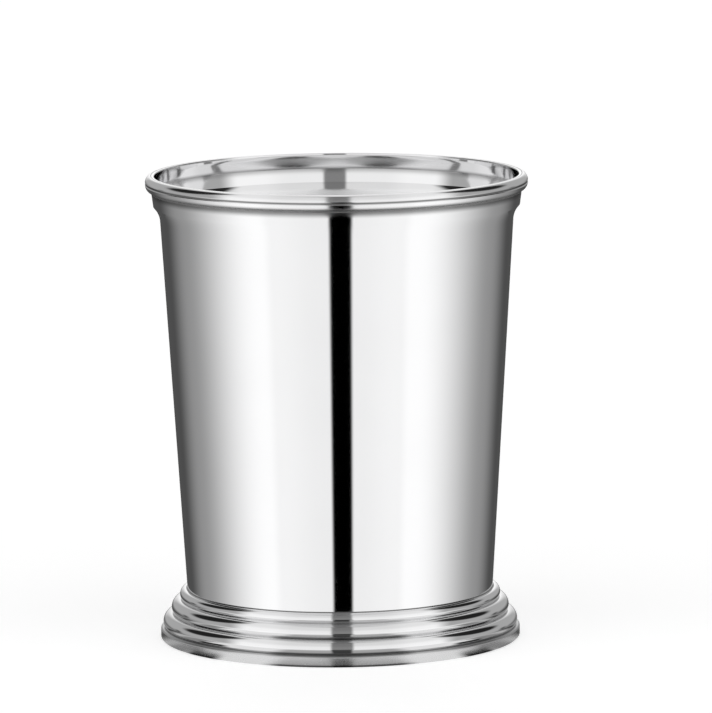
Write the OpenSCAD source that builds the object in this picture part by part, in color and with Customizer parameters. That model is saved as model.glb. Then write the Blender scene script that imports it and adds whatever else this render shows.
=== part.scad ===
// Julep cup of polished steel: a tapered spun cup with a flared mouth, a half-round wire
// round its rim, and a reeded spreading foot that stands on a plain flat wire.
// Every piece is a ring or a cup turned about the Z axis. The origin is on the table,
// under the middle of the cup, and +Z points up to the mouth.

/* [Cup] */
// Height of the cup from the table to the rim
cup_h = 102; // [85:1:130]
// Thickness of the steel sheet of the cup
wall = 0.7; // [0.5:0.1:1.1]
// Outer radius of the cup's wall where it comes out of the foot
waist_r = 33.5; // [30:0.5:36]
// Outer radius of the cup's wall at the shoulder, where the taper ends
shoulder_r = 38.5; // [37:0.5:42]
// How far the hollow flare above the shoulder spreads outwards
cove_out = 1.5; // [1:0.1:2.2]
// Height of the hollow flare above the shoulder
cove_h = 3.3; // [2.6:0.1:4.5]
// How far the plain collar above the flare leans outwards
collar_out = 0.4; // [0.1:0.1:1]
// Height of the plain collar between the flare and the rim wire
collar_h = 3.3; // [2:0.1:5]
// Height of the underside of the cup's floor above the table
floor_lift = 5; // [4.6:0.1:5.4]
// Outer radius of the rounded corner between the cup's floor and its wall
heel_r = 2.4; // [1.6:0.1:2.6]
// Radius of the rounded inner edge of the mouth
mouth_edge_r = 0.3; // [0.1:0.05:0.45]

/* [Rim wire] */
// Height of the half-round wire, from its lower edge to the rim
rim_h = 3.4; // [2.4:0.1:5]
// How far the half-round wire stands out from its flat back
rim_out = 1.25; // [0.8:0.05:2]
// Width of the fine hollow turned round the middle of the half-round wire
line_w = 0.7; // [0.4:0.05:1]
// Depth of the fine hollow
line_d = 0.15; // [0.05:0.05:0.25]

/* [Foot] */
// Thickness of the steel sheet of the foot
skirt_t = 0.7; // [0.5:0.05:0.9]
// Number of hollow reeds below the top reed
reed_n = 2; // [1:1:3]
// Height of each hollow reed, from fold to fold
reed_h = 3.1; // [2.8:0.05:3.4]
// Radius of each hollow reed's rounded face, seen in section
reed_r = 2; // [1.9:0.05:2.4]
// How much further out each reed stands than the one above it
reed_step = 1.85; // [1.8:0.05:2.2]
// Height of the top reed, from its fold up to the cup's wall
top_reed_h = 2.1; // [1.9:0.05:2.5]
// Radius of the top reed's rounded face, seen in section
top_reed_r = 1.3; // [1.2:0.05:1.45]
// How far the top reed stands out from the cup's wall
top_reed_out = 1.65; // [1.6:0.05:2]

/* [Base wire] */
// Height of the flat wire that the foot stands on
base_h = 2.5; // [1.6:0.1:3.5]
// Width of the flat wire, from its inner face to its outer face
base_w = 3; // [2.6:0.1:5]
// How far the flat wire stands out beyond the lowest reed
base_out = 0.55; // [0:0.05:0.8]
// Radius of the flat wire's rounded edges
base_edge_r = 0.5; // [0.2:0.05:0.7]

/* [Brazing] */
// Thickness of the braze metal between two pieces
braze_gap = 0.1; // [0.05:0.01:0.15]
// Reach of the bead under the rim wire along each of the two faces that it joins
rim_bead = 0.4; // [0.2:0.05:0.45]
// Reach of the beads in the foot along each of the two faces that they join
foot_bead = 0.2; // [0.15:0.05:0.45]

/* [Hidden] */
// Radius of a bead's hollow face as a share of the straight line across it
hollow_share = 2.4;
// Most that the bead under the rim wire reaches, as a share of how far the wire stands out
rim_reach_share = 1 / 3;
// Overrun of a cut past the face that it opens
over = 1;
// Overrun of a foot bead's block past the bead's hollow face, as a share of the bead's reach
bead_over_share = 1 / 2;
bead_over = foot_bead * bead_over_share;
steel = [0.80, 0.80, 0.81];
foot_steel = [0.74, 0.74, 0.75];
wire_steel = [0.86, 0.86, 0.87];
braze_metal = [0.55, 0.54, 0.52];

// Heights of the foot's pieces, stacked up from the table
skirt_z = base_h + braze_gap;
foot_top_z = skirt_z + reed_n * reed_h + top_reed_h;
// Top of the hollow inside the foot, and the lower end of its seat on the cup
seat_z = skirt_z + reed_n * reed_h - skirt_t;

// Heights of the mouth's parts, from the shoulder up to the rim
lip_z = cup_h - rim_h;
corner_z = lip_z - collar_h;
shoulder_z = corner_z - cove_h;
corner_r = shoulder_r + cove_out;
lip_r = corner_r + collar_out;
rim_seat_r = lip_r + braze_gap;
rim_reach = min(rim_bead, rim_out * rim_reach_share);

// Lean of the wall and of the collar
taper = (shoulder_r - waist_r) / (shoulder_z - foot_top_z);
taper_a = atan(taper);
collar_lean = collar_out / collar_h;
collar_a = atan(collar_lean);
function wall_r(z) = waist_r + (z - foot_top_z) * taper;
function collar_r(z) = corner_r + (z - corner_z) * collar_lean;

// Centre of the rounded heel, which touches the floor and the wall
heel_z = floor_lift + heel_r;
heel_at = [wall_r(heel_z) - heel_r / cos(taper_a), heel_z];

// Round of the hollow flare: it leaves the wall smoothly and ends at the collar's corner
cove_r = (pow(cove_out, 2) + pow(cove_h, 2))
       / (2 * (cove_out * cos(taper_a) - cove_h * sin(taper_a)));
cove_at = [shoulder_r + cove_r * cos(taper_a), shoulder_z - cove_r * sin(taper_a)];

// Outermost radius and centre of hollow reed i, counted up from the lowest
top_reed_at = [waist_r + top_reed_out - top_reed_r, foot_top_z - top_reed_r];
function reed_reach(i) = waist_r + top_reed_out + (reed_n - i) * reed_step;
function reed_at(i) = [reed_reach(i) - reed_r, skirt_z + reed_h * (i + 1) - reed_r];
// How far the fold under a hollow reed lies out from the centre of its rounded face
fold_out = sqrt(pow(reed_r, 2) - pow(reed_h - reed_r, 2));

base_r = reed_reach(0) + base_out;
base_in_r = base_r - base_w;
// Inner face of the foot's lowest turn, where it stands on the flat wire and at height z above it
flange_in_r = reed_at(0).x + fold_out - skirt_t;
function skirt_in_r(z) = max(flange_in_r,
    reed_at(0).x + sqrt(pow(reed_r - skirt_t, 2) - pow(reed_at(0).y - z, 2)));

// Turns a section drawn in the XY plane, with X as the radius, into a ring
module turned() {
    rotate_extrude($fn = 180) children();
}

module disc_at(at, r) {
    translate(at) circle(r, $fn = 64);
}

// Section inside the cup's outer face, drawn in from it by inset, up to height top
module cup_core(inset, top) {
    heel_in = heel_r - inset;
    cove_in = cove_r + inset;
    shoulder_at = [cove_at.x - cove_in * cos(taper_a), cove_at.y + cove_in * sin(taper_a)];
    difference() {
        union() {
            polygon([
                [0, floor_lift + inset],
                [heel_at.x, floor_lift + inset],
                [heel_at.x + heel_in * cos(taper_a), heel_at.y - heel_in * sin(taper_a)],
                shoulder_at,
                [collar_r(shoulder_at.y) - inset / cos(collar_a), shoulder_at.y],
                [lip_r - inset, lip_z + inset * tan(collar_a / 2)],
                [lip_r - inset, top],
                [0, top]
            ]);
            disc_at(heel_at, heel_in);
        }
        disc_at(cove_at, cove_in);
    }
}

// Sharp inner edge of the mouth, less the round that replaces it
module mouth_edge() {
    edge_at = [lip_r - wall + mouth_edge_r, cup_h - mouth_edge_r];
    difference() {
        translate([edge_at.x - mouth_edge_r, edge_at.y]) square([mouth_edge_r, mouth_edge_r + over]);
        disc_at(edge_at, mouth_edge_r);
    }
}

// Half-round section of the rim wire, its flat back against the lip, less the fine hollow
module rim_section() {
    line_r = (pow(line_w / 2, 2) + pow(line_d, 2)) / (2 * line_d);
    difference() {
        translate([rim_seat_r, lip_z + rim_h / 2]) scale([rim_out, rim_h / 2]) circle(1, $fn = 96);
        translate([rim_seat_r - rim_out - over, lip_z - over]) square([rim_out + over, rim_h + 2 * over]);
        disc_at([rim_seat_r + rim_out - line_d + line_r, lip_z + rim_h / 2], line_r);
    }
}

// Height that the rim wire's underside has risen to at distance out from its back
function rim_rise(out) = rim_h / 2 * (1 - sqrt(1 - pow(out / rim_out, 2)));

// Section of one reed, with a round face of radius r, and of all that lies inside it over height h
module reed_section(at, r, h) {
    translate([0, at.y + r - h]) square([at.x, h]);
    disc_at(at, r);
}

// Everything inside the foot's outer face: the stack of reeds, and the top reed above it
module foot_stack() {
    difference() {
        union() {
            for (i = [0 : reed_n - 1]) reed_section(reed_at(i), reed_r, reed_h);
            reed_section(top_reed_at, top_reed_r, top_reed_h);
        }
        translate([0, skirt_z - reed_r]) square([base_r + over, reed_r]);
    }
}

// The hollow under the foot, one sheet's thickness inside the reeds and their folds
module foot_hollow() {
    for (i = [0 : reed_n - 1]) {
        at = reed_at(i);
        fold_h = reed_h - reed_r + skirt_t;
        reed_section(at, reed_r - skirt_t, reed_h);
        translate([0, at.y - fold_h]) square([at.x + fold_out - skirt_t, fold_h]);
    }
}

// Section of the foot's sheet, with the seat cut to the cup's taper
module foot_section() {
    difference() {
        foot_stack();
        foot_hollow();
        wall_band(seat_z - over, foot_top_z + over, braze_gap);
    }
}

// The cup's tapered face from height low to height high, moved out by gap
module wall_band(low, high, gap) {
    polygon([
        [0, low], [wall_r(low) + gap, low],
        [wall_r(high) + gap, high], [0, high]
    ]);
}

// Round that hollows the face of a braze bead, from a to b, on the side away from the corner c
module bead_hollow(a, b, c) {
    chord = norm(b - a);
    middle = (a + b) / 2;
    across = [b.y - a.y, a.x - b.x] / chord;
    away = across * (middle - c) > 0 ? across : -across;
    disc_at(middle + away * chord * sqrt(pow(hollow_share, 2) - 1 / 4), chord * hollow_share);
}

// Block from corner a up to corner b, which the faces beside a seam are cut out of
module seam_block(a, b) {
    translate(a) square([b.x - a.x, b.y - a.y]);
}

// Flat bar section with rounded edges, its lower inner corner at the origin
module bar_section(w, h, r) {
    translate([r, 0]) square([w - 2 * r, h]);
    translate([0, r]) square([w, h - 2 * r]);
    for (x = [r, w - r], y = [r, h - r]) disc_at([x, y], r);
}

// Spun cup: floor, rounded heel, tapered wall, hollow flare, collar and upright lip
module cup_body() {
    color(steel) turned() difference() {
        cup_core(0, cup_h);
        cup_core(wall, cup_h + over);
        mouth_edge();
    }
}

// Half-round wire bent into a ring round the lip, flush with the rim
module rim_wire() {
    color(wire_steel) turned() rim_section();
}

// Braze behind the rim wire, with a bead in the corner under it
module rim_braze() {
    low = [collar_r(lip_z - rim_reach), lip_z - rim_reach];
    high = [rim_seat_r + rim_reach, lip_z + rim_rise(rim_reach)];
    color(braze_metal) turned() difference() {
        polygon([
            [lip_r, cup_h], [rim_seat_r, cup_h], [rim_seat_r, high.y], high,
            low, [low.x - rim_reach, low.y], [low.x - rim_reach, lip_z], [lip_r, lip_z]
        ]);
        bead_hollow(low, high, [lip_r, lip_z]);
        cup_core(0, cup_h + over);
        rim_section();
    }
}

// Hollow spun foot: a seat on the cup's wall, the top reed, the hollow reeds and a turned-in edge
module foot_skirt() {
    color(foot_steel) turned() foot_section();
}

// Braze between the foot's seat and the cup's wall, with a bead above it and one below it
module foot_braze() {
    top = [wall_r(foot_top_z) + braze_gap, foot_top_z];
    high = [wall_r(top.y + foot_bead), top.y + foot_bead];
    high_out = [top.x + foot_bead, top.y];
    under = [wall_r(seat_z) + braze_gap, seat_z];
    low = [wall_r(under.y - foot_bead), under.y - foot_bead];
    low_out = [under.x + foot_bead, under.y];
    color(braze_metal) turned() difference() {
        seam_block([low.x - foot_bead, low.y - bead_over], [high_out.x + bead_over, high.y + bead_over]);
        bead_hollow(high, high_out, top);
        bead_hollow(low, low_out, under);
        foot_section();
        cup_core(0, cup_h);
    }
}

// Flat wire bent into a ring: the band that the cup stands on
module base_wire() {
    color(wire_steel) turned() translate([base_in_r, 0]) bar_section(base_w, base_h, base_edge_r);
}

// Braze between the foot's turned-in edge and the flat wire, with a bead inside
module base_braze() {
    high = [skirt_in_r(skirt_z + foot_bead), skirt_z + foot_bead];
    low = [flange_in_r - foot_bead, base_h];
    color(braze_metal) turned() difference() {
        seam_block([low.x - bead_over, base_h], [flange_in_r + skirt_t, high.y]);
        bead_hollow(high, low, [flange_in_r, base_h]);
        foot_section();
    }
}

cup_body();
rim_wire();
rim_braze();
foot_skirt();
foot_braze();
base_wire();
base_braze();
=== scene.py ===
import bpy
import numpy as np
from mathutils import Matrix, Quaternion, Vector


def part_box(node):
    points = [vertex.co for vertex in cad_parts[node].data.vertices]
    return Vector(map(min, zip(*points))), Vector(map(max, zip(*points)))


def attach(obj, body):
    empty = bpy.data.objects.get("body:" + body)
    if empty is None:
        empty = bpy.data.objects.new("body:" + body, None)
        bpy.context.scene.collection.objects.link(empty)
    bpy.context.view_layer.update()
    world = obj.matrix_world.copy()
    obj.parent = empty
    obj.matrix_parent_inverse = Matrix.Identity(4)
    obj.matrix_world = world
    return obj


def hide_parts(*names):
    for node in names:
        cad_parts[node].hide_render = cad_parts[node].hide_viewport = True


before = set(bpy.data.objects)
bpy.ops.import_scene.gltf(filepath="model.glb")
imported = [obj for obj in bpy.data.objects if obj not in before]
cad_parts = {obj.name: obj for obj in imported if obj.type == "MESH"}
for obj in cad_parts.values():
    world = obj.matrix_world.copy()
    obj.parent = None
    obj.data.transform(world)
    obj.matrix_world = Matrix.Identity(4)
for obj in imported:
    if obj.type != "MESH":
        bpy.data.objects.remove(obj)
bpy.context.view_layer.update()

# The cup
# One piece of steel sheet, spun over a former: a flat floor, a rounded heel, a tapered wall, a hollow
# flare, a plain collar and an upright lip. It is buffed to a mirror outside and left satin inside.

floor_low, cup_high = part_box("cup_body")
floor_lift = floor_low.z
cup_h = cup_high.z
lip_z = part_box("rim_wire")[0].z
foot_top_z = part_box("foot_skirt")[1].z
wall = 0.0007
waist_r = 0.0335
shoulder_r = 0.0385
cove_out, cove_h = 0.0015, 0.0033
collar_out, collar_h = 0.0004, 0.0033
heel_r = 0.0024
worn_edge = 0.0002
mouth_edge_r = 0.0003

corner_z = lip_z - collar_h
shoulder_z = corner_z - cove_h
corner_r = shoulder_r + cove_out
lip_r = corner_r + collar_out
taper = (shoulder_r - waist_r) / (shoulder_z - foot_top_z)
taper_a = np.arctan(taper)
collar_a = np.arctan(collar_out / collar_h)
cove_r = (cove_out**2 + cove_h**2) / (2 * (cove_out * np.cos(taper_a) - cove_h * np.sin(taper_a)))
cove_at = np.array([shoulder_r + cove_r * np.cos(taper_a), shoulder_z - cove_r * np.sin(taper_a)])


def wall_r(z):
    """Outer radius of the tapered wall at height z."""
    return waist_r + (z - foot_top_z) * taper


def arc(centre, radius, start, end, steps=48):
    """Points of a round, centre + radius (cos t, sin t), for t from start to end in degrees."""
    t = np.radians(np.linspace(start, end, steps))
    return np.asarray(centre) + radius * np.stack([np.cos(t), np.sin(t)], 1)


def cup_side(inset, top):
    """The cup's section drawn in from its outer face by inset: out along the floor, round the heel, up the
    taper, round the flare to where it meets the collar, and up the lip to height top."""
    heel_z = floor_lift + heel_r
    heel_at = np.array([wall_r(heel_z) - heel_r / np.cos(taper_a), heel_z])
    lean = np.degrees(taper_a)
    past_collar = 100
    heel = arc(heel_at, heel_r - inset, -90, -lean)
    flare = arc(cove_at, cove_r + inset, 180 - lean, past_collar, steps=160)
    collar = corner_r + (flare[:, 1] - corner_z) * np.tan(collar_a) - inset / np.cos(collar_a)
    lip = [[lip_r - inset, lip_z + inset * np.tan(collar_a / 2)], [lip_r - inset, top]]
    return np.vstack([[[0, floor_lift + inset]], heel, flare[flare[:, 0] < collar], lip])


def eased(outline, closed, turn_step=3.0, long_step=0.004, edge=worn_edge):
    """The outline with its corners worn round. It is walked in even steps, each place is averaged with those
    within edge of it, and the walk is thinned to one point per turn_step degrees or long_step metres."""
    if closed:
        outline = np.vstack([outline, outline[:1]])
    along = np.concatenate([[0], np.cumsum(np.linalg.norm(np.diff(outline, axis=0), axis=1))])
    reach = 8
    walk = np.linspace(0, along[-1], int(along[-1] / edge * reach), endpoint=not closed)
    even = np.stack([np.interp(walk, along, outline[:, k]) for k in (0, 1)], 1)
    beyond = {"mode": "wrap"} if closed else {"mode": "reflect", "reflect_type": "odd"}
    spread = np.pad(even, ((reach, reach), (0, 0)), **beyond)
    weight = np.hanning(2 * reach + 3)[1:-1]
    soft = np.stack([np.convolve(spread[:, k], weight / weight.sum(), "valid") for k in (0, 1)], 1)
    step = np.diff(soft, axis=0, prepend=soft[:1] - (soft[1:2] - soft[:1]))
    heading = np.degrees(np.unwrap(np.arctan2(step[:, 1], step[:, 0])))
    turned_by = np.cumsum(np.abs(np.diff(heading, prepend=heading[:1])))
    count = np.floor(turned_by / turn_step + walk / long_step)
    keep = np.diff(count, prepend=-1) > 0
    if not closed:
        keep[-1] = True
    return soft[keep]


def turned(name, profile, turns=256):
    """A mesh turned about Z: point (r, z) of the profile goes to (r cos a, r sin a, z) for each of turns
    angles a. A profile that starts and ends on the axis gets a pole there, and any other one is a ring."""
    on_axis = 1e-9
    poles = profile[0, 0] < on_axis
    body = profile[1:-1] if poles else profile
    a = np.arange(turns) * (2 * np.pi / turns)
    r, z = body[:, :1], body[:, 1:]
    verts = np.stack([r * np.cos(a), r * np.sin(a), z + 0 * a], -1).reshape(-1, 3)
    rows = np.arange(len(body) - 1 if poles else len(body))
    i, j = np.meshgrid(rows, np.arange(turns), indexing="ij")
    up, on = (i + 1) % len(body), (j + 1) % turns
    quads = np.stack([i * turns + j, i * turns + on, up * turns + on, up * turns + j], -1)
    faces = quads.reshape(-1, 4).tolist()
    if poles:
        j, on = np.arange(turns), (np.arange(turns) + 1) % turns
        last, low, high = (len(body) - 1) * turns, len(verts), len(verts) + 1
        faces += np.stack([np.full(turns, low), on, j], 1).tolist()
        faces += np.stack([np.full(turns, high), last + j, last + on], 1).tolist()
        verts = np.vstack([verts, [[0, 0, profile[0, 1]], [0, 0, profile[-1, 1]]]])
    mesh = bpy.data.meshes.new(name)
    mesh.from_pydata(verts.tolist(), [], faces)
    mesh.polygons.foreach_set("use_smooth", np.ones(len(faces), bool))
    mesh.validate()
    piece = bpy.data.objects.new(name, mesh)
    bpy.context.scene.collection.objects.link(piece)
    return piece


class Value:
    """A number that varies over a surface. Sums, products and powers of it add Math nodes."""

    def __init__(self, finish, socket):
        self.finish, self.socket = finish, socket

    def _math(self, operation, a, b=0.0):
        return self.finish.node("ShaderNodeMath", {"operation": operation}, {0: a, 1: b})

    def __add__(self, other):
        return self._math("ADD", self, other)

    def __radd__(self, other):
        return self._math("ADD", other, self)

    def __sub__(self, other):
        return self._math("SUBTRACT", self, other)

    def __rsub__(self, other):
        return self._math("SUBTRACT", other, self)

    def __mul__(self, other):
        return self._math("MULTIPLY", self, other)

    def __rmul__(self, other):
        return self._math("MULTIPLY", other, self)

    def __truediv__(self, other):
        return self._math("DIVIDE", self, other)

    def __rtruediv__(self, other):
        return self._math("DIVIDE", other, self)

    def __pow__(self, other):
        return self._math("POWER", self, other)

    def __abs__(self):
        return self._math("ABSOLUTE", self)

    def most(self, other):
        """The larger of the two numbers."""
        return self._math("MAXIMUM", self, other)

    def least(self, other):
        """The smaller of the two numbers."""
        return self._math("MINIMUM", self, other)

    def rise(self, low, high):
        """0 below low and 1 above high, with a smooth step between."""
        return self.finish.node("ShaderNodeMapRange", {"interpolation_type": "SMOOTHSTEP"},
                                {"Value": self, "From Min": low, "From Max": high})

    def near(self, middle, reach):
        """1 at middle, falling smoothly to 0 at reach from it."""
        return 1 - abs(self - middle).rise(0.0, reach)


class Finish:
    """The node tree of one material or of the world. node() adds any node and gives one of its outputs."""

    def __init__(self, owner):
        owner.use_nodes = True
        self.owner, self.tree = owner, owner.node_tree
        self.tree.nodes.clear()

    def node(self, kind, settings=None, sockets=None, out=0):
        made = self.tree.nodes.new(kind)
        for key, setting in (settings or {}).items():
            setattr(made, key, setting)
        for key, given in (sockets or {}).items():
            if isinstance(given, Value):
                self.tree.links.new(given.socket, made.inputs[key])
            else:
                made.inputs[key].default_value = given
        return Value(self, made.outputs[out] if made.outputs else None)

    def places(self, source="Object"):
        """The place's three coordinates, and the vector that they come from."""
        vector = self.node("ShaderNodeTexCoord", out=source)
        parts = self.node("ShaderNodeSeparateXYZ", sockets={0: vector})
        return [Value(self, socket) for socket in parts.socket.node.outputs] + [vector]

    def vector(self, x, y, z):
        """The vector of three numbers."""
        return self.node("ShaderNodeCombineXYZ", sockets={0: x, 1: y, 2: z})

    def noise(self, vector, scale, detail=2.0):
        """Smooth noise from 0 to 1 with about scale grains to the metre."""
        return self.node("ShaderNodeTexNoise", {"noise_dimensions": "3D"},
                         {"Vector": vector, "Scale": scale, "Detail": detail})

    def blend(self, share, a, b):
        """Colour a where share is 0 and colour b where it is 1."""
        return self.node("ShaderNodeMix", {"data_type": "RGBA"}, {0: share, 6: a, 7: b}, out=2)

    def bump(self, height, reach):
        """A normal tilted by height, which is given in units of reach metres."""
        return self.node("ShaderNodeBump", {}, {"Strength": 1.0, "Distance": reach, "Height": height})


marks_per_m, swells_per_m, clouds_per_m, scuffs_per_m = 5200.0, 260.0, 60.0, 900.0
clouds_span, scuffs_span = (0.3, 0.8), (0.56, 0.8)
# The second grey is the dark colour of the painted shade on the cup and foot, and of their faint random
# haze.
bright_steel, shade_and_haze_grey = (0.86, 0.86, 0.865, 1), (0.2, 0.2, 0.2, 1)
# The last of these roughnesses is added where shade is painted in.
marks_rough, satin_rough, satin_marks_rough, scuffs_rough, stain_rough = 0.02, 0.26, 0.1, 0.03, 0.12
satin_marks_deep, swells_share = 0.006, 4.0
tenth_mm = 0.0001
haze = 0.02


def metal(name, colour, stain, rough, rings, satin=None, dirt=None):
    """A spun metal finish of roughness rough. Turning marks and broader swells are noise in radius and
    height only, so they run round the axis, and the marks are rings tenths of a millimetre deep. satin,
    from 0 to 1, opens them up. The mask in the last argument, from 0 to 1, paints shade into the colour,
    blending it toward the dark colour and making it rougher: painted shade in corners, folds and under the
    wires, and on the base wire also its own grey. Random clouds blend a little haze toward the same colour."""
    made = Finish(bpy.data.materials.new(name))
    x, y, z, place = made.places()
    radius = (x * x + y * y) ** 0.5
    section = made.vector(radius, 0.0, z)
    marks = made.noise(section, marks_per_m, detail=3.0)
    swells = made.noise(section, swells_per_m, detail=1.0)
    clouds = made.noise(place, clouds_per_m, detail=3.0).rise(*clouds_span)
    scuffs = made.noise(place, scuffs_per_m, detail=4.0).rise(*scuffs_span)
    satin = satin(made, radius, z) if satin else 0.0
    dirt = dirt(made, radius, z, place) if dirt else 0.0
    worn = rough + satin * satin_rough + marks * (marks_rough + satin * satin_marks_rough)
    depth = marks * (rings + satin * satin_marks_deep) + swells * rings * swells_share
    made.node("ShaderNodeOutputMaterial", {}, {"Surface": made.node("ShaderNodeBsdfPrincipled", {}, {
        "Base Color": made.blend(dirt + clouds * haze, colour, stain),
        "Metallic": 1.0,
        "Roughness": worn + scuffs * scuffs_rough + dirt * stain_rough,
        "Normal": made.bump(depth, tenth_mm),
    })})
    return made.owner


# Shade is painted on the collar under the rim wire. It fades out over these depths and is a little patchy.
collar_fade = (0.0004, 0.0018)
collar_patches, collar_patches_per_m = 0.15, 200.0
floor_face = [floor_lift + wall * share for share in (0.4, 0.8)]
mouth_buff = 0.7


def collar_stain(made, radius, z, place):
    """Painted shade on the collar under the rim wire, on the outer face only, a little patchy. It fades out
    between the two depths of collar_fade below the wire."""
    outside = (radius - lip_r + collar_out + wall / 2).rise(-wall / 4, wall / 4)
    under = (1 - (lip_z - z).rise(*collar_fade)) * (1 - (z - lip_z).rise(0.0, wall))
    return outside * under * (1 - collar_patches + collar_patches * made.noise(place, collar_patches_per_m))


def inside_of_cup(made, radius, z):
    """1 on the cup's inner face, less mouth_buff at the mouth, which is buffed with the rim."""
    along = (z - shoulder_z) * taper + shoulder_r
    side = (radius - along + wall / 2).rise(-wall / 4, wall / 4)
    return (1 - side) * z.rise(*floor_face) * (1 - z.rise(lip_z, cup_h - mouth_edge_r) * mouth_buff)


outer = cup_side(0, cup_h - mouth_edge_r)
inner = cup_side(wall, cup_h - mouth_edge_r)
mouth = arc((lip_r - wall + mouth_edge_r, cup_h - mouth_edge_r), mouth_edge_r, 90, 180, steps=24)
cup = turned("cup", eased(np.vstack([outer[:-1], [[lip_r, cup_h]], mouth, inner[::-1]]), closed=False))
cup.data.materials.append(metal(
    "mirror steel", colour=bright_steel, stain=shade_and_haze_grey, rough=0.035, rings=0.001,
    satin=inside_of_cup, dirt=collar_stain))
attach(cup, "root")
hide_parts("cup_body")

# The rim wire
# Half-round steel wire with a fine hollow along its round face, bent into a ring and brazed round the lip
# with its flat back inwards, then buffed.

rim_h = cup_h - lip_z
rim_out = 0.00125
braze_gap = 0.0001
rim_seat_r = lip_r + braze_gap
wire_at = np.array([rim_seat_r, lip_z + rim_h / 2])
wire_half = np.array([rim_out, rim_h / 2])

line_w, line_d = 0.0007, 0.00015
line_r = ((line_w / 2) ** 2 + line_d**2) / (2 * line_d)
line_at = wire_at + [rim_out - line_d + line_r, 0]
line_sweep = 60

half_round = arc((0, 0), 1, -90, 90, steps=180) * wire_half + wire_at
half_round = half_round[np.linalg.norm(half_round - line_at, axis=1) > line_r]
fine_hollow = arc(line_at, line_r, 180 + line_sweep, 180 - line_sweep)
fine_hollow = fine_hollow[np.linalg.norm((fine_hollow - wire_at) / wire_half, axis=1) < 1]
below = half_round[:, 1] < line_at[1]
rim = turned("rim_ring", eased(
    np.vstack([half_round[below], fine_hollow, half_round[~below]]), closed=True, edge=worn_edge / 4))

base_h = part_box("base_wire")[1].z
base_satin, base_grey = 0.5, 0.2
# The base wire's upper edge has painted shade over this height, more of it at the front and the back.
base_edge_stain_h = 0.0007
base_edge_stain, base_edge_stain_front = 0.4, 0.45
# The rim wire's underside has painted shade that fades out over these heights, and the fine hollow a dark
# painted shade.
rim_fade = (0.0001, 0.0009)
line_stain, line_reach_share = 0.95, 0.55
front_cosines = (0.9, 0.95)


def front_and_back(made, radius):
    """1 near the front and the back, where the cosine of the turn from them, |y| / radius, passes the two
    front_cosines: 0 beyond 26 degrees and 1 within 18 degrees."""
    return (abs(made.places()[1]) / radius).rise(*front_cosines)


def wire_satin(made, radius, z):
    """base_satin on the base wire, which is duller, and 0 on the rim wire."""
    return base_satin - z.rise(base_h, lip_z) * base_satin


def wire_stain(made, radius, z, place):
    """Painted shade on the rim wire's underside, on the base wire's upper edge, more at the front and the
    back, and dark in the fine hollow, with a little of the base wire's own grey where it is satin."""
    under = z.rise(lip_z / 2, lip_z) * (1 - (z - lip_z).rise(*rim_fade))
    over = z.rise(base_h - base_edge_stain_h, base_h) * (1 - z.rise(base_h, lip_z / 2))
    over = over * (base_edge_stain + front_and_back(made, radius) * base_edge_stain_front)
    line = z.near(line_at[1], line_w * line_reach_share) * line_stain
    return under + over + line + wire_satin(made, radius, z) * base_grey


rim.data.materials.append(metal(
    "buffed wire", colour=bright_steel, stain=(0.15, 0.15, 0.15, 1), rough=0.09, rings=0.0014,
    satin=wire_satin, dirt=wire_stain))
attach(rim, "root")
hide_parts("rim_wire")

# The braze behind the rim wire
# Braze metal that has run into the gap behind the wire and left a hollow bead in the corner under it.

rim_bead = 0.0004
braze_metal = metal(
    "braze metal", colour=(0.25, 0.25, 0.25, 1), stain=(0.08, 0.08, 0.08, 1), rough=0.3, rings=0.01)


def fillet_bead(low, high, corner, hollow=2.4):
    """The hollow face of a bead from low to high: an arc whose radius is hollow times the straight line
    across it, centred on the side away from the corner."""
    low, high = np.asarray(low), np.asarray(high)
    chord = np.linalg.norm(high - low)
    across = np.array([high[1] - low[1], low[0] - high[0]]) / chord
    away = across if across @ ((low + high) / 2 - corner) > 0 else -across
    centre = (low + high) / 2 + away * chord * np.sqrt(hollow**2 - 1 / 4)
    ends = [np.arctan2(*(p - centre)[::-1]) for p in (low, high)]
    turn = (ends[1] - ends[0] + np.pi) % (2 * np.pi) - np.pi
    return arc(centre, chord * hollow, np.degrees(ends[0]), np.degrees(ends[0] + turn), steps=12)


def braze(name, outline, node):
    """A ring of braze metal: dull, a little rough, and darker in patches."""
    ring = turned(name, eased(outline, closed=True, turn_step=12, edge=worn_edge / 8), turns=192)
    ring.data.materials.append(braze_metal)
    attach(ring, "root")
    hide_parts(node)


under_z = lip_z - rim_bead
under_r = corner_r + (under_z - corner_z) * np.tan(collar_a)
wire_rise = rim_h / 2 * (1 - np.sqrt(1 - (rim_bead / rim_out) ** 2))
under_bead = fillet_bead((under_r, under_z), (rim_seat_r + rim_bead, lip_z + wire_rise), (lip_r, lip_z))
behind = [[rim_seat_r, lip_z], [rim_seat_r, cup_h], [lip_r, cup_h], [lip_r, lip_z]]
braze("rim_seam", np.vstack([under_bead, behind]), "rim_braze")

# The foot
# Spun steel sheet with three reeds, each further out than the one above. A collar inside the top reed
# fits the cup's wall, and the lowest turn is folded in to stand on the base wire.

skirt_t = 0.0007
reed_n = 2
reed_h, reed_r = 0.0031, 0.002
reed_step = 0.00185
top_reed_r = 0.0013
top_reed_out = 0.00165
skirt_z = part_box("foot_skirt")[0].z
seat_z = skirt_z + reed_n * reed_h - skirt_t
fold_out = np.sqrt(reed_r**2 - (reed_h - reed_r) ** 2)
top_reed_at = np.array([waist_r + top_reed_out - top_reed_r, foot_top_z - top_reed_r])


def reed_at(i):
    """Centre of hollow reed i's round face, counted up from the lowest."""
    reach = waist_r + top_reed_out + (reed_n - i) * reed_step
    return np.array([reach - reed_r, skirt_z + reed_h * (i + 1) - reed_r])


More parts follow.
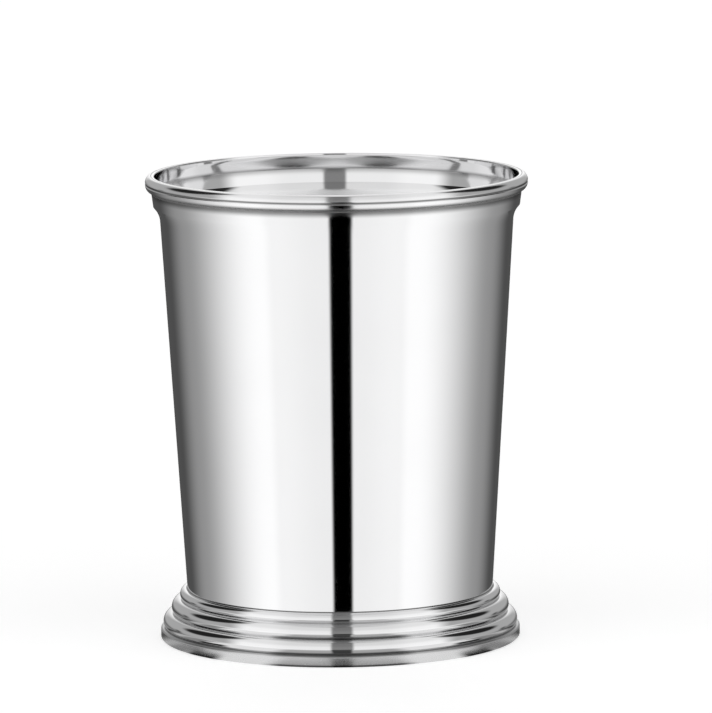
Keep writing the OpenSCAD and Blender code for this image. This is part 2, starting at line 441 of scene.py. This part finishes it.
def reed_stack():
    """The reeds' outer faces from the bottom up: each is a round, as far as it lies outside the others."""
    rounds = [(reed_at(i), reed_r) for i in range(reed_n)] + [(top_reed_at, top_reed_r)]
    below_fold = -60
    faces = [arc(at, radius, below_fold, 90, steps=240) for at, radius in rounds]
    for i, face in enumerate(faces):
        clear = face[:, 1] > skirt_z
        for j, (at, radius) in enumerate(rounds):
            if j != i:
                clear &= np.linalg.norm(face - at, axis=1) > radius
        faces[i] = face[clear]
    return np.vstack([[[reed_at(0)[0] + fold_out, skirt_z]]] + faces)


def reed_hollow():
    """The foot's inner face, from the top down: each reed's hollow is a round about the same centre, and it
    ends on an upright step one sheet's thickness inside the fold."""
    inner_r = reed_r - skirt_t
    turn = np.degrees(np.arccos((fold_out - skirt_t) / inner_r))
    parts = []
    for i in reversed(range(reed_n)):
        at = reed_at(i)
        low = at[1] + reed_r - reed_h - skirt_t if i else skirt_z
        parts += [arc(at, inner_r, 90, -turn), [[at[0] + fold_out - skirt_t, low]]]
    return np.vstack(parts)


seat = [[wall_r(foot_top_z) + braze_gap, foot_top_z], [wall_r(seat_z) + braze_gap, seat_z]]
foot_outline = np.vstack([reed_stack(), seat, reed_hollow()])
foot = turned("foot", eased(foot_outline, closed=True, turn_step=4.5, edge=worn_edge / 2))

# Shade is painted into the folds under the reeds: how far it reaches, each fold's share, how dark it is all
# round and at the front and the back, and its patches.
fold_reach = reed_r / 4
fold_shares = (1.0, 1.0, 0.4)
fold_stain, fold_stain_front = 0.1, 0.7
fold_patches, fold_patches_per_m = 0.2, 140.0


def reed_dirt(made, radius, z, place):
    """Painted shade in the folds under the reeds, a little patchy, most of it at the front and the back.
    The folds have their fold_shares of it, counted up from the lowest."""
    stain = sum(z.near(skirt_z + reed_h * i, fold_reach) * share for i, share in enumerate(fold_shares))
    patches = fold_patches * made.noise(place, fold_patches_per_m)
    return stain * (fold_stain + front_and_back(made, radius) * fold_stain_front + patches)


foot.data.materials.append(metal(
    "reeded steel", colour=(0.85, 0.85, 0.855, 1), stain=shade_and_haze_grey, rough=0.045, rings=0.0012,
    dirt=reed_dirt))
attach(foot, "root")
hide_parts("foot_skirt")

# The braze under and over the foot's seat
# Braze metal between the foot's collar and the cup's wall, with a bead where it comes out above and below.

foot_bead = 0.0002
over_z, low_z = foot_top_z + foot_bead, seat_z - foot_bead
over_bead = fillet_bead((seat[0][0] + foot_bead, foot_top_z), (wall_r(over_z), over_z), seat[0])
low_bead = fillet_bead((wall_r(low_z), low_z), (seat[1][0] + foot_bead, seat_z), seat[1])
braze("foot_seam", np.vstack([over_bead, low_bead, seat[::-1]]), "foot_braze")

# The base wire
# Plain flat steel wire, bent into a ring under the foot. The cup stands on it.

base_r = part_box("base_wire")[1].x
base_w = 0.003
base_edge_r = 0.0005
out_r, in_r = base_r - base_edge_r, base_r - base_w + base_edge_r
top_z = base_h - base_edge_r
corners = [(out_r, base_edge_r), (out_r, top_z), (in_r, top_z), (in_r, base_edge_r)]
bar = [arc(at, base_edge_r, 90 * (i - 1), 90 * i, steps=16) for i, at in enumerate(corners)]
base = turned("base_ring", eased(np.vstack(bar), closed=True, edge=worn_edge / 2))
base.data.materials.append(rim.data.materials[0])
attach(base, "root")
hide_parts("base_wire")

# The braze between the foot and the base wire
# A film under the foot's folded edge, with a bead inside, where it was fed in.

flange_r = reed_at(0)[0] + fold_out - skirt_t
bead_z = skirt_z + foot_bead
bead_r = max(flange_r, reed_at(0)[0] + np.sqrt((reed_r - skirt_t) ** 2 - (reed_at(0)[1] - bead_z) ** 2))
inner_bead = fillet_bead((bead_r, bead_z), (flange_r - foot_bead, base_h), (flange_r, base_h))
film = [[flange_r + skirt_t, base_h], [flange_r + skirt_t, skirt_z], [flange_r, skirt_z]]
braze("base_seam", np.vstack([inner_bead, film]), "base_braze")

# The table
# A white table top that runs far back. It shows white, less the cup's own shade, and polished steel looks
# through it at the studio below the horizon, apart from a patch round the foot where it sees painted
# greys: a painted reflection of shade round the foot and of dark bands.

table_r = 6.0
table_sides = 128
table_white, table_lift = 0.75, 0.53
white = (1, 1, 1, 1)
degrees = 180 / np.pi

# Turns are in degrees from the front. A step is where it starts, where it ends and how much it adds.
# These values make the painted reflection round the foot: painted shade darkest at the foot, paler outward
# and to the sides, and painted dark bands.
foot_tone = 0.07
tone_steps = [(0.0398, 0.0425, 0.33), (0.045, 0.068, 0.32)]
side_turns, side_tone = (19, 27), 0.86
rear_turns, rear_tone = (54, 63), 0.25
streaks = [(78, 9, 0.25), (92, 8, -0.2)]
band_turn, band_bend = 77, 1.04
band_half, band_out, band_dark = (4.5, 10.5), (0.0435, 0.0465), 0.98
wedge_x, wedge_spread = 0.0004, 0.12
wedge_edge, wedge_dark = (-0.0031, -0.0019), 0.88
patch_out, patch_off = (0.058, 0.075), (0.034, 0.039)


def table_top():
    """A flat disc of radius table_r at height 0."""
    a = np.linspace(0, 2 * np.pi, table_sides, endpoint=False)
    mesh = bpy.data.meshes.new("table")
    edge = table_r * np.stack([np.cos(a), np.sin(a), 0 * a], 1)
    mesh.from_pydata(edge.tolist(), [], [list(range(table_sides))])
    made = bpy.data.objects.new("table", mesh)
    bpy.context.scene.collection.objects.link(made)
    return made


def stepped(value, tone, steps):
    """tone plus the gain of each step (start, end, gain), as value rises from start to end."""
    for start, end, gain in steps:
        tone = tone + value.rise(start, end) * gain
    return tone


def painted_foot_greys(made, x, y):
    """The painted greys round the foot, which only reflections see: painted shade in steps of tone by
    radius, paler to the sides and darker to the rear, two soft streaks, a painted dark band along turn =
    band_turn - band_bend / radius, and a painted dark wedge along the middle, wedge_spread times the radius
    wide to each side. Gives the radius and the tone."""
    radius = (x * x + y * y) ** 0.5
    turn = made.node("ShaderNodeMath", {"operation": "ARCTAN2"}, {0: abs(x), 1: 0 - y}) * degrees
    tone = stepped(radius, foot_tone, tone_steps)
    for turns, grey in ((side_turns, side_tone), (rear_turns, rear_tone)):
        tone = tone + turn.rise(*turns) * (grey - tone)
    for middle, reach, gain in streaks:
        tone = tone + turn.near(middle, reach) * gain
    band = 1 - abs(turn - band_turn + band_bend / radius).rise(*band_half)
    band = band * (1 - radius.rise(*band_out))
    wedge = 1 - (abs(x - wedge_x) - radius * wedge_spread).rise(*wedge_edge)
    return radius, tone * (1 - band * band_dark) * (1 - wedge * wedge_dark)


def table_finish():
    """Matt white. Camera rays also get the light that the studio lacks of full white, and reflections near
    the foot get the painted greys there, a painted reflection of shade and dark bands. Past patch_out, or
    further off than patch_off, it is clear to them."""
    made = Finish(bpy.data.materials.new("white table"))
    x, y = made.places()[:2]
    rays = made.node("ShaderNodeLightPath").socket.node.outputs
    seen, mirrored = Value(made, rays["Is Camera Ray"]), Value(made, rays["Is Glossy Ray"])
    length = Value(made, rays["Ray Length"])
    under = Value(made, made.node("ShaderNodeNewGeometry").socket.node.outputs["Backfacing"])
    matt = made.node("ShaderNodeBsdfDiffuse", {}, {"Color": (table_white, table_white, table_white, 1)})
    lift = made.node("ShaderNodeEmission", {}, {"Color": white, "Strength": seen * table_lift})
    clear = made.node("ShaderNodeBsdfTransparent", {}, {"Color": white})
    shown = made.node("ShaderNodeAddShader", {}, {0: matt, 1: lift})
    radius, tone = painted_foot_greys(made, x, y)
    shade = made.node("ShaderNodeEmission", {}, {"Color": white, "Strength": tone})
    patch = (1 - radius.rise(*patch_out)) * (1 - length.rise(*patch_off))
    mirror = made.node("ShaderNodeMixShader", {}, {0: patch, 1: clear, 2: shade})
    solid = made.node("ShaderNodeMixShader", {}, {0: mirrored, 1: shown, 2: mirror})
    both = made.node("ShaderNodeMixShader", {}, {0: under, 1: solid, 2: clear})
    made.node("ShaderNodeOutputMaterial", {}, {"Surface": both})
    return made.owner


table = table_top()
table.data.materials.append(table_finish())

# The studio
# Soft white all round, set up for polished metal: a pale front, brighter panels that fade to grey behind,
# a grey opening on each side with a small dark card in it and a large one above, and a black strip in front.

# Turns are in degrees from the front, and heights in degrees above the horizon. The walls, which are the
# front and the panels, lie below the horizon, and the dome above it.
studio_light = 1.15
front_tone = 0.86
front_steps = [(10, 42, 0.06), (42, 50, 0.08)]
panel_turn, panel_back = 1.5, 2.5
panel_steps = [(51, 118, -0.72), (114, 145, -0.21)]
dome_tone = 0.84
dome_side_steps = [(30, 50, 0.08)]
dome_up_steps = [(20, 50, -0.14), (65, 90, -0.2)]
horizon = (-8, 3)
rear_y = (0.88, 0.94)
opening_at, opening_edge, opening_tone = (122, 2), (40, 56), 0.37
low_card_at, low_card_reach, low_card_dark = (130, -1), 8, 0.8
high_card_at, high_card_edge, high_card_dark = (118, 37), (15, 24), 0.96
strip_turn, strip_half = 2.2, (5.8, 8.4)
strip_jog, strip_jog_from = 1.2, (-12, -6)
strip_fade, strip_fade_from = 0.25, (-8, -2)
strip_rear_y = (0.0, 0.2)


def studio():
    """Brightness by direction (x, y, z). The wall that mirrors a direction to the front faces half-way to
    it, at the turn atan2(x, 1 - y), so facing is twice that turn, and az is its size, 0 to 180. Round the
    rear, where the turn comes apart, az is drawn up to 180. level is the height above the horizon."""
    made = Finish(bpy.data.worlds.new("studio"))
    x, y, z = made.places("Generated")[:3]
    level = made.node("ShaderNodeMath", {"operation": "ARCSINE"}, {0: z}) * degrees
    facing = made.node("ShaderNodeMath", {"operation": "ARCTAN2"}, {0: x, 1: 1 - y}) * (2 * degrees)
    rear = y.rise(*rear_y)
    az = abs(facing) + rear * (180 - abs(facing))
    beside = abs(facing - panel_turn) - panel_back
    beside = beside + rear * (180 - beside)

    def apart(turn, height):
        """Angle from the direction at turn to each side and height, in degrees."""
        t, h = np.radians([turn, height])
        dot = abs(x) * (np.sin(t) * np.cos(h)) + y * (-np.cos(t) * np.cos(h)) + z * np.sin(h)
        dot = dot.least(1.0).most(-1.0)
        return made.node("ShaderNodeMath", {"operation": "ARCCOSINE"}, {0: dot}) * degrees

    walls = stepped(az, front_tone, front_steps) * stepped(beside, 1, panel_steps)
    dome = stepped(level, stepped(az, dome_tone, dome_side_steps), dome_up_steps)
    dome = dome + (1 - apart(*opening_at).rise(*opening_edge)) * (opening_tone - dome)
    light = walls + level.rise(*horizon) * (dome - walls)
    light = light * (1 - apart(*low_card_at).near(0, low_card_reach) * low_card_dark)
    light = light * (1 - (1 - apart(*high_card_at).rise(*high_card_edge)) * high_card_dark)
    middle = strip_turn - level.rise(*strip_jog_from) * strip_jog
    strip = 1 - abs(facing - middle).rise(*strip_half)
    strip = strip * (1 - level.rise(*strip_fade_from) * strip_fade) * (1 - y.rise(*strip_rear_y))
    light = light * (1 - strip)
    seen = Value(made, made.node("ShaderNodeLightPath").socket.node.outputs["Is Camera Ray"])
    shown = made.node("ShaderNodeMix", {"data_type": "FLOAT"}, {0: seen, 2: light * studio_light, 3: 1.0})
    ground = made.node("ShaderNodeBackground", {}, {"Color": white, "Strength": shown})
    made.node("ShaderNodeOutputWorld", {}, {"Surface": ground})
    return made.owner


bpy.context.scene.world = studio()
bpy.context.scene.view_settings.view_transform = "Standard"

# The camera
# A long lens a metre and a half away, looking a little down at the cup. The cup's middle lies cup_px from
# the picture's top left corner, at px_per_m pixels to the metre.

photo_w, photo_h = 712, 713
cup_px = (338.0, 405.0)
px_per_m = 4570.0
distance = 1.5
look_down = np.radians(8.5)
roll = np.radians(-0.5)
sensor_w = 36.0

camera = bpy.data.objects.new("camera", bpy.data.cameras.new("camera"))
bpy.context.scene.collection.objects.link(camera)
camera.data.sensor_width = sensor_w
camera.data.lens = px_per_m * distance * sensor_w / max(photo_w, photo_h)
camera.data.clip_start, camera.data.clip_end = 0.01, 20.0
back = Vector((0, -np.cos(look_down), np.sin(look_down)))
middle = Vector((0, 0, cup_h / 2))
camera.location = middle + back * distance
right = Vector((1, 0, 0))
up = Vector((0, np.sin(look_down), np.cos(look_down)))
aim = middle + (right * (photo_w / 2 - cup_px[0]) + up * (cup_px[1] - photo_h / 2)) / px_per_m
level_view = (aim - camera.location).to_track_quat("-Z", "Y")
camera.rotation_euler = (level_view @ Quaternion((0, 0, 1), roll)).to_euler()
bpy.context.scene.camera = camera
